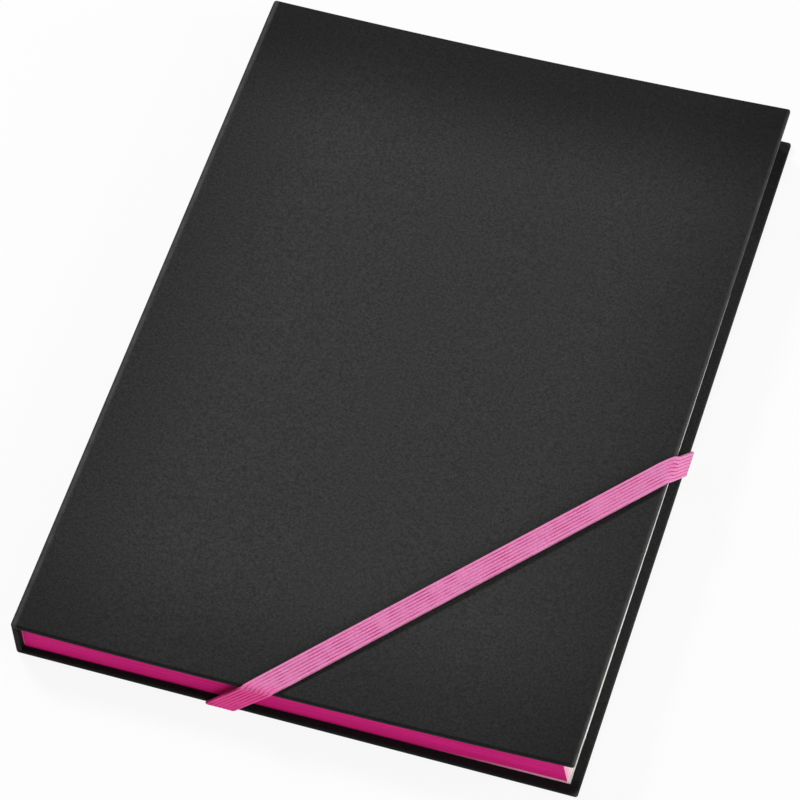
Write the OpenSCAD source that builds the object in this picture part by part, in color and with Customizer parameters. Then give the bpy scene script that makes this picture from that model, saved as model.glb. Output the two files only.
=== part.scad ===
// A5 casebound notebook, lying on its back cover and held shut by an elastic band over one corner.
//
// Frame: the origin is the middle of the face that the notebook lies on.
// +x points to the fore edge, +y to the head and +z up, from the back cover to the front cover.
// Each piece is drawn from the corner at the spine and the tail, and then moved to that frame.
// The front cover has warped: it dips in the middle and lifts towards the fore edge,
// and the pages under it have swollen to the same curve.

/* [Case] */
// Width of the covers, from the spine to the fore edge
cover_w = 150; // [100:1:240]
// Length of the covers, from the tail to the head
cover_l = 212; // [150:1:330]
// Height of the closed notebook at the spine
spine_h = 14; // [10:0.5:40]
// How much higher the front cover stands at the fore edge than at the spine
fore_lift = 2.7; // [0:0.1:5]
// Dip of the front cover's middle below a straight line from spine to fore edge
bow = 1.5; // [0:0.05:3]
// How far the warped front cover's fore edge stands back from the back cover's
fore_slip = 0.8; // [0:0.1:2]
// Thickness of the greyboard
board_t = 1.5; // [1:0.1:3]
// Thickness of the covering sheet
wrap_t = 0.25; // [0.15:0.05:0.5]
// Width of the covering sheet that is turned in over the boards' inner faces
turn_in = 15; // [8:1:25]
// Gap between each board and the spine wall, in which the cover folds
hinge_gap = 0.8; // [0.4:0.1:3]
// Radius of the two rounded shoulders along the spine
shoulder_r = 1.3; // [0.6:0.1:2]
// Radius of the boards' long edges
edge_r = 0.6; // [0.2:0.1:0.9]
// Radius of the case's corners at the spine, seen from above
spine_corner_r = 1.6; // [0.5:0.1:6]
// Radius of the covers' corners at the fore edge, seen from above
fore_corner_r = 0.7; // [0.4:0.1:6]

/* [Pages] */
// Recess of the pages at the tail, beside the spine
tail_square_spine = 1.9; // [1:0.1:5]
// Recess of the pages at the tail, beside the fore edge
tail_square_fore = 2.7; // [1:0.1:5]
// Recess of the pages at the fore edge, beside the tail
fore_square_tail = 2.8; // [1:0.1:5]
// Recess of the pages at the fore edge, beside the head
fore_square_head = 3.4; // [1:0.1:5]
// Recess of the pages at the head
head_square = 2.4; // [1:0.1:5]
// Thickness of an endpaper
endpaper_t = 0.15; // [0.1:0.01:0.3]
// How far the outer leaves stand out of the cut pages
leaf_proud = 0.25; // [0:0.05:0.6]
// Margin from the covers' edges to the pasted half of an endpaper
paste_margin = 4; // [2:0.1:8]
// Thickness of the lining glued over the back of the pages
lining_t = 0.3; // [0.15:0.05:1]
// Clearance between the closed front cover and the pages
page_clear = 0.1; // [0.05:0.05:0.5]

/* [Elastic band] */
// Width of the band
band_w = 6.3; // [4:0.1:12]
// Thickness of the band
band_t = 0.9; // [0.5:0.05:1.4]
// Where the band's middle crosses the front cover's tail edge, from the spine
band_tail_x = 67; // [45:1:80]
// Where the band's middle crosses the front cover's fore edge, from the tail
band_fore_y = 90; // [60:1:120]
// How far the band slants towards the spine on its way down over the tail edge
band_tail_slant = 11.4; // [4:0.2:18]
// How far the band slants towards the head on its way down over the fore edge
band_fore_slant = 13.2; // [4:0.2:18]
// Clearance between the band and the covers it passes
band_clear = 0.12; // [0.05:0.01:0.3]
// Distance from the back cover's edge to the slot that the band goes through
slot_in = 9; // [6:0.5:14]
// Length of the band's end that is glued down behind the slot
glued_l = 12; // [6:1:20]

/* [Hidden] */

charcoal = "#2a2a2b";
greyboard_grey = "#8d8a84";
leaf_white = "#efeae1";
dyed_magenta = "#b8176a";
band_pink = "#e07cb4";

// Each cover is its board and the sheet over the board's outer face.
// The turned-in sheet is pressed flush into the board's inner face.
cover_t = board_t + wrap_t;
// The front cover folds about a line above the inner side of the spine wall.
hinge_x = cover_t;
board_x = hinge_x + hinge_gap;
// Fore edge of the front cover
front_w = cover_w - fore_slip;
// The pages' back stands just clear of the spine wall.
lining_x = hinge_x + page_clear;
block_x = lining_x + lining_t;
// Underside of the pages, on the folded endpaper
leaf_gap = 0.05;
block_z = cover_t + 2 * endpaper_t + leaf_gap;
// Depth of each layer below the front cover's outer face
pastedown_d = cover_t + endpaper_t;
flyleaf_d = pastedown_d + page_clear;
block_d = flyleaf_d + endpaper_t;
// Steps along the front cover's curve, and along a rounded edge
curve_steps = 16;
round_steps = 6;
// An excess by which a cut runs past the surface that it opens
cut = 1;

// The front cover's outer face as points of [distance from the spine, height].
// Every layer follows these same points, so that stacked layers meet face to face.
stations = [for (i = [0:curve_steps])
    let (t = i / curve_steps) [cover_w * t, spine_h + fore_lift * t - 4 * bow * t * (1 - t)]];

// Height of the front cover's outer face at a distance x from the spine
function top_z(x) = lookup(x, stations);

// Points of an arc about a centre, from one angle to another
function arc(centre, r, from, to, steps) =
    [for (i = [0:steps]) let (a = from + (to - from) * i / steps) centre + r * [cos(a), sin(a)]];

// Points along the front cover's curve from x0 to x1, a depth d below its outer face
function curve(x0, x1, d) = concat(
    [[x0, top_z(x0) - d]],
    [for (s = stations) if (s[0] > x0 && s[0] < x1) [s[0], s[1] - d]],
    [[x1, top_z(x1) - d]]
);

// The same points in the opposite order
function reversed(list) = [for (i = [len(list) - 1:-1:0]) list[i]];

// Moves a piece from the corner at the spine and the tail to the middle of the back cover
module placed() {
    translate([-cover_w / 2, -cover_l / 2, 0]) children();
}

// Stands a section, drawn in x and z, along the length from y0 to y1
module along_length(y0, y1) {
    translate([0, y1, 0]) rotate([90, 0, 0]) linear_extrude(y1 - y0) children();
}

// Half of a cover's outline, from the middle to one end, with two corners rounded to a radius
module half_outline(length, margin, radius) {
    r = max(radius - margin, wrap_t);
    inset = margin + r;
    for (y = [inset, cover_l - inset]) translate([length - inset, y]) circle(r, $fn = 48);
    translate([0, margin]) square([length - inset, cover_l - 2 * margin]);
    translate([0, inset]) square([length - margin, cover_l - 2 * inset]);
}

// Outline of a cover seen from above, drawn in by a margin, with rounded corners
module cover_outline(width, margin = 0) {
    middle = width / 2;
    translate([middle, 0]) half_outline(middle, margin, fore_corner_r);
    translate([middle, 0]) mirror([1, 0]) half_outline(middle, margin, spine_corner_r);
}

// Keeps what lies inside a cover's outline, drawn in by a margin
module within_outline(width, margin = 0) {
    intersection() {
        children();
        translate([0, 0, -cut]) linear_extrude(spine_h + fore_lift + 4 * cut) cover_outline(width, margin);
    }
}

// Outline of the cut pages seen from above, enlarged at its three open sides
module page_outline(proud = 0) {
    x0 = block_x;
    y_head = cover_l - head_square + proud;
    polygon([
        [x0, tail_square_spine - proud],
        [cover_w - fore_square_tail + proud, tail_square_fore - proud],
        [cover_w - fore_square_head + proud, y_head],
        [x0, y_head]
    ]);
}

// A layer of the front cover between two depths, from x0 to x1 and y0 to y1
module front_layer(x0, x1, y0, y1, d0, d1) {
    along_length(y0, y1) polygon(concat(curve(x0, x1, d0), reversed(curve(x0, x1, d1))));
}

// Section of the front cover with its rounded fore edge
module front_section() {
    high = top_z(front_w);
    low = high - cover_t;
    polygon(concat(
        curve(hinge_x, front_w - edge_r, 0),
        arc([front_w - edge_r, high - edge_r], edge_r, 90, 0, round_steps),
        arc([front_w - edge_r, low + edge_r], edge_r, 0, -90, round_steps),
        reversed(curve(hinge_x, front_w - edge_r, cover_t))
    ));
}

// The front board, thinned where the covering sheet is turned in over it
module front_board_shape() {
    y0 = wrap_t;
    y1 = cover_l - wrap_t;
    within_outline(front_w, wrap_t) difference() {
        front_layer(board_x, front_w - wrap_t, y0, y1, wrap_t, cover_t);
        difference() {
            front_layer(board_x - cut, cover_w, y0 - cut, y1 + cut, board_t, cover_t + cut);
            front_layer(board_x - 2 * cut, front_w - turn_in, turn_in, cover_l - turn_in,
                board_t - cut, cover_t + 2 * cut);
        }
    }
}

module front_board() {
    color(greyboard_grey) placed() front_board_shape();
}

// The covering sheet of the front cover, up to the line that the cover folds about
module front_wrap() {
    color(charcoal) placed() difference() {
        within_outline(front_w) along_length(0, cover_l) front_section();
        front_board_shape();
        front_layer(hinge_x - cut, front_w - turn_in, turn_in, cover_l - turn_in, board_t, cover_t + cut);
        front_layer(hinge_x - cut, board_x, -cut, cover_l + cut, wrap_t, cover_t + cut);
    }
}

// The half of the front endpaper that is pasted to the board
module front_pastedown() {
    color(leaf_white) placed()
        front_layer(board_x, front_w - paste_margin, paste_margin, cover_l - paste_margin,
            cover_t, pastedown_d);
}

// The half of the front endpaper that lies on the pages
module front_flyleaf() {
    color(leaf_white) placed() intersection() {
        front_layer(hinge_x, cover_w, 0, cover_l, flyleaf_d, block_d);
        linear_extrude(spine_h + fore_lift + cut) page_outline(leaf_proud);
    }
}

// All pages, one solid with a flat underside and the front cover's curve on top
module text_block() {
    color(dyed_magenta) placed() intersection() {
        along_length(0, cover_l)
            polygon(concat([[cover_w, block_z], [block_x, block_z]], curve(block_x, cover_w, block_d)));
        linear_extrude(spine_h + fore_lift + cut) page_outline();
    }
}

// Paper lining glued over the back of the pages
module spine_lining() {
    color(leaf_white) placed()
        along_length(tail_square_spine, cover_l - head_square)
            polygon([
                [lining_x, block_z], [block_x, block_z],
                [block_x, top_z(block_x) - block_d], [lining_x, top_z(block_x) - block_d]
            ]);
}

// Section of the back cover and the spine wall, with rounded shoulders and fore edge
module back_section() {
    high = top_z(shoulder_r);
    polygon(concat(
        arc([shoulder_r, shoulder_r], shoulder_r, 270, 180, round_steps),
        arc([shoulder_r, high - shoulder_r], shoulder_r, 180, 90, round_steps),
        [[hinge_x, top_z(hinge_x)], [hinge_x, cover_t]],
        arc([cover_w - edge_r, cover_t - edge_r], edge_r, 90, 0, round_steps),
        arc([cover_w - edge_r, edge_r], edge_r, 0, -90, round_steps)
    ));
}

// The space inside the covering sheet around the spine board and its two folds
module spine_hollow() {
    inner_r = shoulder_r - wrap_t;
    high = top_z(shoulder_r);
    within_outline(cover_w, wrap_t) along_length(wrap_t, cover_l - wrap_t) polygon(concat(
        arc([shoulder_r, shoulder_r], inner_r, 270, 180, round_steps),
        arc([shoulder_r, high - shoulder_r], inner_r, 180, 90, round_steps),
        [[hinge_x + cut, top_z(hinge_x) - wrap_t], [hinge_x + cut, cover_t + cut],
            [board_x, cover_t + cut], [board_x, wrap_t]]
    ));
}

module back_board_shape() {
    within_outline(cover_w, wrap_t) difference() {
        translate([board_x, wrap_t, wrap_t])
            cube([cover_w - wrap_t - board_x, cover_l - 2 * wrap_t, board_t]);
        difference() {
            translate([board_x - cut, wrap_t - cut, board_t]) cube([cover_w, cover_l + cut, wrap_t + cut]);
            translate([board_x - 2 * cut, turn_in, board_t - cut])
                cube([cover_w - turn_in - board_x + 2 * cut, cover_l - 2 * turn_in, wrap_t + 3 * cut]);
        }
    }
}

module back_board() {
    color(greyboard_grey) placed() difference() {
        back_board_shape();
        band_channels();
    }
}

module spine_board() {
    color(greyboard_grey) placed() within_outline(cover_w, wrap_t)
        translate([wrap_t, wrap_t, shoulder_r])
            cube([board_t, cover_l - 2 * wrap_t, top_z(shoulder_r) - 2 * shoulder_r]);
}

// The covering sheet of the back cover and the spine, up to the line that the front cover folds about
module back_wrap() {
    color(charcoal) placed() difference() {
        within_outline(cover_w) along_length(0, cover_l) back_section();
        back_board_shape();
        spine_hollow();
        translate([board_x, turn_in, board_t])
            cube([cover_w - turn_in - board_x, cover_l - 2 * turn_in, wrap_t + cut]);
        band_channels();
    }
}

// The back endpaper: one folded sheet, one half pasted to the board and the other under the pages
module back_endpaper() {
    color(leaf_white) placed() {
        translate([board_x, paste_margin, cover_t])
            cube([cover_w - paste_margin - board_x, cover_l - 2 * paste_margin, endpaper_t]);
        translate([board_x, paste_margin, cover_t])
            cube([hinge_gap, cover_l - 2 * paste_margin, block_z - cover_t]);
        translate([0, 0, cover_t + endpaper_t + leaf_gap])
            linear_extrude(endpaper_t) page_outline(leaf_proud);
    }
}

// The band's middle line where it passes one edge of the covers, as points of
// [distance in from that edge, height, share of the side's slant, share of the front cover's slant].
// It starts at the glued end inside the back cover and ends on the front cover,
// whose edge is high above the ground, set back from the back cover's edge and rounded to a radius.
function band_line(high, back, radius) =
    let (
        offset = band_clear + band_t / 2,
        inner_z = cover_t - offset,
        // the band leaves the cover's underside flush with the face that the notebook lies on
        low_z = band_t / 2,
        low = arc([0, low_z + offset], offset, 270, 180, round_steps),
        top = arc([back + radius, high - radius], offset + radius, 180, 90, round_steps),
        shares = [for (i = [0:round_steps]) i / round_steps]
    )
    concat(
        [[slot_in + glued_l, inner_z, 0, 0], [slot_in, inner_z, 0, 0], [slot_in, low_z, 0, 0]],
        [for (i = [0:round_steps]) [low[i][0], low[i][1], shares[i], 0]],
        [for (i = [0:round_steps]) [top[i][0], top[i][1], 1 - shares[i], shares[i]]],
        [[back + radius + band_w / 2, high + offset, 0, 1]]
    );

// How far the band has moved along the edge at point i, per unit of the slant in column n
function travel(line, n, i) =
    i == 0 ? 0 : travel(line, n, i - 1)
        + (line[i][n] + line[i - 1][n]) / 2 * norm([line[i][0] - line[i - 1][0], line[i][1] - line[i - 1][1]]);

// Unit normal of the middle line at point i, in its own plane
function band_normal(line, i) =
    let (
        a = line[max(i - 1, 0)],
        b = line[min(i + 1, len(line) - 1)],
        d = [b[0] - a[0], b[1] - a[1]] / norm([b[0] - a[0], b[1] - a[1]])
    )
    [-d[1], d[0]];

// The band past one edge: for each cross section the place of its middle along the edge, from where
// the band crosses the front cover's edge, half its width along the edge, and its outer and inner
// points as [distance in from the edge, height]. The band moves by shift on its way down,
// and over is its slant on the front cover.
function band_sections(line, back, shift, over) =
    let (
        last = len(line) - 1,
        total = shift + over * (line[last][0] - back),
        side = (total - over * travel(line, 3, last)) / travel(line, 2, last)
    )
    [for (i = [0:last])
        let (
            p = line[i],
            n = band_normal(line, i) * band_t / 2,
            moved = side * travel(line, 2, i) + over * travel(line, 3, i),
            slope = side * p[2] + over * p[3]
        )
        [shift - moved, band_w / 2 * norm([1, slope]), [p[0] + n[0], p[1] - n[1]], [p[0] - n[0], p[1] + n[1]]]];

// Corners of the band's cross sections at the fore edge, from the glued end up to the front cover
function fore_sections() =
    [for (s = band_sections(band_line(top_z(front_w), fore_slip, edge_r), fore_slip, band_fore_slant,
        band_fore_y / (front_w - band_tail_x)))
        [for (side = [[1, 3], [1, 2], [-1, 2], [-1, 3]])
            [cover_w - s[side[1]][0], band_fore_y + s[0] + s[1] * side[0], s[side[1]][1]]]];

// The same at the tail edge
function tail_sections() =
    [for (s = band_sections(band_line(top_z(band_tail_x), 0, 0), 0, band_tail_slant,
        (front_w - band_tail_x) / band_fore_y))
        [for (side = [[-1, 3], [-1, 2], [1, 2], [1, 3]])
            [band_tail_x - s[0] + s[1] * side[0], s[side[1]][0], s[side[1]][1]]]];

// The band: from its end at the fore edge over the corner of the front cover to its end at the tail
module elastic_band() {
    sections = concat(fore_sections(), reversed(tail_sections()));
    last = len(sections) - 1;
    points = [for (s = sections) each s];
    walls = [for (i = [0:last - 1], k = [0:3])
        let (a = 4 * i + k, b = 4 * i + (k + 1) % 4)
        each [[a, b, b + 4], [a, b + 4, a + 4]]];
    ends = [[3, 2, 1], [3, 1, 0], [4 * last, 4 * last + 1, 4 * last + 2], [4 * last, 4 * last + 2, 4 * last + 3]];
    color(band_pink) placed() polyhedron(points, concat(walls, ends));
}

// Room for the band's two ends in the back cover: a groove in the underside, a slot and a seat inside
module band_channels() {
    room = band_clear;
    half = band_w / 2 + room;
    fore_y = band_fore_y + band_fore_slant;
    tail_x = band_tail_x - band_tail_slant;
    slot_half = band_t / 2 + room;
    seat_z = cover_t - band_t - 2 * room;
    // [first and last distance in from the edge, lowest and highest point]
    for (span = [
        [-cut, slot_in + slot_half, -cut, band_t + room],
        [slot_in - slot_half, slot_in + slot_half, -cut, cover_t + cut],
        [slot_in - slot_half, slot_in + glued_l + room, seat_z, cover_t + cut]
    ]) {
        deep = span[1] - span[0];
        high = span[3] - span[2];
        translate([cover_w - span[1], fore_y - half, span[2]]) cube([deep, 2 * half, high]);
        translate([tail_x - half, span[0], span[2]]) cube([2 * half, deep, high]);
    }
}

back_board();
spine_board();
back_wrap();
back_endpaper();
text_block();
spine_lining();
front_flyleaf();
elastic_band();
front_board();
front_wrap();
front_pastedown();
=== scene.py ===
# %% [markdown]
# # A casebound notebook with an elastic band over one corner
#
# This lesson dresses a small hardcover notebook. The engineering model comes first and stays
# as it is: it says where every piece lies and how the front cover turns. Each visible piece is
# then modelled over it by hand, with primitives and edit-mode tools, and gets a procedural
# material. All lengths are in metres, so a millimetre has a short name of its own.

# %% Load the engineering model
import math
import bmesh
import bpy
from mathutils import Matrix, Vector


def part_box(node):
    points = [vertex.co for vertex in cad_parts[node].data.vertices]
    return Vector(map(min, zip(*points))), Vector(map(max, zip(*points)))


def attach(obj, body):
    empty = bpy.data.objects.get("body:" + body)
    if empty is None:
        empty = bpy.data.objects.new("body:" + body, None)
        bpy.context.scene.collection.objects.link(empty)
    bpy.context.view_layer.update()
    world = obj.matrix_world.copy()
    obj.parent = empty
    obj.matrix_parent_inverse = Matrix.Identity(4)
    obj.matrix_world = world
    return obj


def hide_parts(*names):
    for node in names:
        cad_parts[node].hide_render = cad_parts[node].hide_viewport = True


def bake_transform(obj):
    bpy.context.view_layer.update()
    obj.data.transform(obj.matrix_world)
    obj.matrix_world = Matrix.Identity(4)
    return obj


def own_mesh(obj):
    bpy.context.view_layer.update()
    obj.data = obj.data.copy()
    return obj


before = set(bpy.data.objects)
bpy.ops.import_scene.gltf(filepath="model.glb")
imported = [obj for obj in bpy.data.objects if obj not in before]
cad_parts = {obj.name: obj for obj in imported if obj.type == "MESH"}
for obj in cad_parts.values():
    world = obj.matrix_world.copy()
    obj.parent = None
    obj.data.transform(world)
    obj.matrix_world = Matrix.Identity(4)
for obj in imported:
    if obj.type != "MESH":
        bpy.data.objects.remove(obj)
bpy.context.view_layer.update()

MM = 0.001

# %% [markdown]
# The sizes that the dressed pieces share with the engineering model are read from its boxes
# where a box gives them. The front cover has warped: it dips in its middle and lifts towards
# the fore edge. That curve is a parabola over the cover's width, written once as a function,
# because the cover, the pages and the band all follow it.

# %% Shared sizes
case_low, case_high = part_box("back_wrap")
front_low, front_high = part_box("front_wrap")
block_low, block_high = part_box("text_block")
SPINE_X, FORE_X, FRONT_FORE_X = case_low[0], case_high[0], front_high[0]
TAIL_Y, HEAD_Y = case_low[1], case_high[1]
FOLD_X = front_low[0]
COVER_T = 1.75 * MM
PAPER_T = 0.25 * MM
TURN_IN = 15 * MM


def cover_height(x):
    """Height of the front cover's outer face above the table."""
    t = (x - SPINE_X) / (FORE_X - SPINE_X)
    return 14 * MM + 2.7 * MM * t - 6 * MM * t * (1 - t)


print("cover height at spine, middle and fore edge in mm:",
      [round(cover_height(x) / MM, 2) for x in (SPINE_X, 0, FRONT_FORE_X)])

# %% [markdown]
# Everything is modelled in edit mode, and an operator acts on all that is selected. So a few
# small helpers select faces, edges or points by where they are or which way they face, which
# is what a hand does with a mouse. `start` adds a fresh primitive with nothing else selected,
# and `modify` applies a modifier. The bisect tool treats points within a tenth of a
# millimetre as lying on its plane, which is coarse here, so `cut` sets that much finer. Every
# object keeps its origin in the frame's origin.

# %% Helpers for selecting and starting
def only(*objects):
    """Leaves edit mode and selects just these objects."""
    if bpy.context.object and bpy.context.object.mode == "EDIT":
        bpy.ops.object.mode_set(mode="OBJECT")
    bpy.ops.object.select_all(action="DESELECT")
    for obj in objects:
        obj.select_set(True)
    bpy.context.view_layer.objects.active = objects[0]


def edit(obj):
    only(obj)
    bpy.ops.object.mode_set(mode="EDIT")
    bpy.ops.mesh.select_all(action="DESELECT")
    return obj


def pick(kind, test):
    """In edit mode, selects the VERT, EDGE or FACE elements that pass the test."""
    bpy.ops.mesh.select_mode(type=kind)
    bpy.ops.mesh.select_all(action="DESELECT")
    mesh = bpy.context.object.data
    shape = bmesh.from_edit_mesh(mesh)
    shape.normal_update()
    items = {"VERT": shape.verts, "EDGE": shape.edges, "FACE": shape.faces}[kind]
    chosen = [item for item in items if test(item)]
    for item in chosen:
        item.select_set(True)
    shape.select_flush_mode()
    bmesh.update_edit_mesh(mesh)
    return len(chosen)


def middle(edge):
    return (edge.verts[0].co + edge.verts[1].co) / 2


def start(name, add, scale=(1, 1, 1), **settings):
    """Adds a primitive, names it and goes on in edit mode with its place in the mesh."""
    if bpy.context.object and bpy.context.object.mode == "EDIT":
        bpy.ops.object.mode_set(mode="OBJECT")
    bpy.ops.object.select_all(action="DESELECT")
    add(**settings)
    obj = bpy.context.object
    obj.name = obj.data.name = name
    obj.scale = scale
    bpy.ops.object.transform_apply(location=True, rotation=True, scale=True)
    return edit(obj)


def block(name, low, high):
    """A cube between two corners."""
    size = [b - a for a, b in zip(low, high)]
    centre = [(a + b) / 2 for a, b in zip(low, high)]
    return start(name, bpy.ops.mesh.primitive_cube_add, size=1, location=centre, scale=size)


def extrude(*value):
    bpy.ops.mesh.extrude_region_move(TRANSFORM_OT_translate={"value": value})


def cut(test, place, normal):
    """Bisects the faces that pass the test with a plane."""
    pick("FACE", test)
    bpy.ops.mesh.bisect(plane_co=place, plane_no=normal, threshold=0.001 * MM)


def modify(obj, kind, **settings):
    """Adds a modifier and applies it."""
    only(obj)
    modifier = obj.modifiers.new(kind.lower(), kind)
    for key, value in settings.items():
        setattr(modifier, key, value)
    bpy.ops.object.modifier_apply(modifier=modifier.name)


def smooth(obj, degrees=35):
    only(obj)
    bpy.ops.object.shade_smooth_by_angle(angle=math.radians(degrees))


def report(obj):
    size = [round(v / MM, 2) for v in obj.dimensions]
    print(f"{obj.name}: {len(obj.data.polygons)} faces, {size} mm")


# %% [markdown]
# ## The covering
#
# On the real notebook one sheet of charcoal paper is glued around three boards: it covers the
# back cover, runs up the spine and over the front cover, and is turned in 15 mm over the
# boards' inner faces. It could be drawn as flat strips, but then every rounded edge and corner
# would have to be stitched. So the whole case is grown as one solid first: a slab for the back
# cover, extruded up into the spine and then along the curve of the front cover. The corners
# and edges are bevelled on that solid, and only then is it opened to a sheet.

# %% Grow the case from the back cover
covering = block("covering", (SPINE_X, TAIL_Y, 0), (FORE_X, HEAD_Y, COVER_T))
cut(lambda f: True, (FOLD_X, 0, 0), (1, 0, 0))
inner_z = cover_height(FOLD_X) - COVER_T
pick("FACE", lambda f: f.normal.z > 0.9 and f.calc_center_median().x < FOLD_X)
extrude(0, 0, inner_z - COVER_T)
extrude(0, 0, COVER_T)

# the front cover starts with close steps at the fold and goes on with even ones
steps = [FOLD_X + 0.25 * MM * k for k in range(1, 6)]
even = 22
steps += [steps[-1] + (FRONT_FORE_X - steps[-1]) * k / even for k in range(1, even + 1)]
pick("FACE", lambda f: f.normal.x > 0.9 and f.calc_center_median().z > inner_z
     and f.calc_center_median().x < FOLD_X + MM)
last = FOLD_X
for x in steps:
    extrude(x - last, 0, cover_height(x) - cover_height(last))
    last = x
print("case grown in", len(steps), "steps to x =", round(last / MM, 2), "mm")

# %% [markdown]
# Seen from above the case's corners have a small radius, slightly larger at the spine than at
# the fore edge, where the paper is folded tight. The upright edges there are picked by place
# and bevelled. Along the long edges the paper takes the radius of the board under it: about
# 0.75 mm over the two shoulders of the spine and 0.6 mm elsewhere. A Bevel modifier with edge
# weights does both at once, and the weights run from one to the other round the corners. A
# bevel that is wider than the corner's own radius would fold over itself, so it stays under it.

# %% Round the corners and the edges
EDGE_END = 0.02 * MM
SPINE_CORNER, FORE_CORNER = 0.8 * MM, 0.7 * MM
SHOULDER_R, RIM_R = 0.75 * MM, 0.6 * MM
WEIGHT_LEVELS = 6
at_ends = lambda e: all(min(abs(v.co.y - TAIL_Y), abs(v.co.y - HEAD_Y)) < EDGE_END for v in e.verts)
upright = lambda e: abs(e.verts[0].co.z - e.verts[1].co.z) > 10 * EDGE_END and \
    abs(e.verts[0].co.x - e.verts[1].co.x) < EDGE_END
extreme_x = lambda x: min(abs(x - SPINE_X), abs(x - FORE_X), abs(x - FRONT_FORE_X)) < EDGE_END
corner = lambda e: at_ends(e) and upright(e) and extreme_x(middle(e).x)
spine_corners = pick("EDGE", lambda e: corner(e) and middle(e).x < 0)
bpy.ops.mesh.bevel(offset=SPINE_CORNER, segments=4, affect="EDGES")
fore_corners = pick("EDGE", lambda e: corner(e) and middle(e).x > 0)
bpy.ops.mesh.bevel(offset=FORE_CORNER, segments=4, affect="EDGES")
print("upright edges rounded at the spine and at the fore edge:", spine_corners, fore_corners)

is_rim = lambda e: len(e.link_faces) == 2 and e.calc_face_angle() > 1.1 and e.is_convex \
    and not (upright(e) and abs(middle(e).x - FOLD_X) < EDGE_END)
spine_part = lambda x: min(max((x - SPINE_X) / SPINE_CORNER, 0), 1)
for level in range(WEIGHT_LEVELS + 1):
    pick("EDGE", lambda e: is_rim(e) and round(WEIGHT_LEVELS * spine_part(middle(e).x)) == level)
    bpy.ops.transform.edge_bevelweight(value=1 - level / WEIGHT_LEVELS * (1 - RIM_R / SHOULDER_R))
modify(covering, "BEVEL", width=SHOULDER_R, segments=4, limit_method="WEIGHT",
       affect="EDGES", use_clamp_overlap=False)
report(covering)

# %% [markdown]
# The elastic band goes into the back cover: it lies in a shallow groove in the underside and
# then goes up through a slot, once at the fore edge and once at the tail. Boxes are placed
# where the band runs and taken away with Boolean modifiers, as a cutter would.

# %% Cut the grooves and slots of the band
GROOVE_TOP = 1.0 * MM


def carve(obj, low, high):
    """Takes a box away from a piece."""
    tool = block("cutter", low, high)
    only(obj)
    modifier = obj.modifiers.new("cut", "BOOLEAN")
    modifier.operation = "DIFFERENCE"
    modifier.solver = "EXACT"
    modifier.object = tool
    bpy.ops.object.modifier_apply(modifier=modifier.name)
    only(tool)
    bpy.ops.object.delete()


# the groove's half width, and its middle where the band goes under each edge
GROOVE_HALF = 3.25 * MM
FORE_Y, TAIL_X = TAIL_Y + 103.2 * MM, SPINE_X + 55.6 * MM
# reach in from the edge and height of the groove, then of the slot, in millimetres
for x0, x1, z0, z1 in ((-9.55, 1, -1, GROOVE_TOP / MM), (-9.55, -8.45, 0.5, 3)):
    carve(covering, (FORE_X + x0 * MM, FORE_Y - GROOVE_HALF, z0 * MM),
          (FORE_X + x1 * MM, FORE_Y + GROOVE_HALF, z1 * MM))
    carve(covering, (TAIL_X - GROOVE_HALF, TAIL_Y - x1 * MM, z0 * MM),
          (TAIL_X + GROOVE_HALF, TAIL_Y - x0 * MM, z1 * MM))
report(covering)

# %% [markdown]
# Now the solid becomes a sheet. Its inner faces are bisected where the turned-in paper ends,
# and what lies beyond is deleted, so that the boards and endpapers show there. The front cover
# has to bend at the fold while the back cover stays, so the sheet is parted on the flat of the
# spine into two pieces that meet edge to edge. Solidify then gives both the paper's thickness,
# inwards, around the boards.

# %% Open the inside and part the sheet
TURNED_Y = HEAD_Y - TURN_IN
inside_front = lambda f: f.normal.z < -0.9 and f.calc_center_median().z > 5 * MM
inside_back = lambda f: f.normal.z > 0.9 and abs(f.calc_center_median().z - COVER_T) < 0.05 * MM
inside_spine = lambda f: f.normal.x > 0.9 and abs(f.calc_center_median().x - FOLD_X) < 0.05 * MM
edit(covering)
for inside in (inside_front, inside_back, inside_spine):
    cut(inside, (0, TURNED_Y, 0), (0, 1, 0))
    cut(inside, (0, -TURNED_Y, 0), (0, 1, 0))
cut(inside_front, (FRONT_FORE_X - TURN_IN, 0, 0), (1, 0, 0))
cut(inside_back, (FORE_X - TURN_IN, 0, 0), (1, 0, 0))
opened = pick("FACE", lambda f: abs(f.calc_center_median().y) < TURNED_Y and (
    inside_spine(f) or inside_front(f) and f.calc_center_median().x < FRONT_FORE_X - TURN_IN
    or inside_back(f) and f.calc_center_median().x < FORE_X - TURN_IN))
bpy.ops.mesh.delete(type="FACE")
print("inner faces taken out:", opened)
# the turned-in paper lies on the spine's board, not level with it
pick("VERT", lambda v: abs(v.co.x - FOLD_X) < 0.01 * MM and abs(v.co.y) > TURNED_Y - 0.1 * MM
     and COVER_T - 0.1 * MM < v.co.z < inner_z + 0.1 * MM)
bpy.ops.transform.translate(value=(0.06 * MM, 0, 0))

PARTING_Z = 11.5 * MM
cut(lambda f: True, (0, 0, PARTING_Z), (0, 0, 1))
for k in range(9):
    place = FOLD_X - 0.8 * MM + 0.2 * MM * k
    cut(lambda f: f.calc_center_median().z > PARTING_Z, (place, 0, 0), (1, 0, 0))
pick("FACE", lambda f: f.calc_center_median().z > PARTING_Z)
bpy.ops.mesh.separate(type="SELECTED")
bpy.ops.object.mode_set(mode="OBJECT")
front_covering = [o for o in bpy.context.selected_objects if o is not covering][0]
front_covering.name = front_covering.data.name = "front_covering"
back_covering = covering
back_covering.name = back_covering.data.name = "back_covering"
for piece in (front_covering, back_covering):
    modify(piece, "SOLIDIFY", thickness=PAPER_T, offset=-1, use_rim=True)
    smooth(piece)
    modify(piece, "WEIGHTED_NORMAL", keep_sharp=True, weight=80)
    report(piece)

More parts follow.
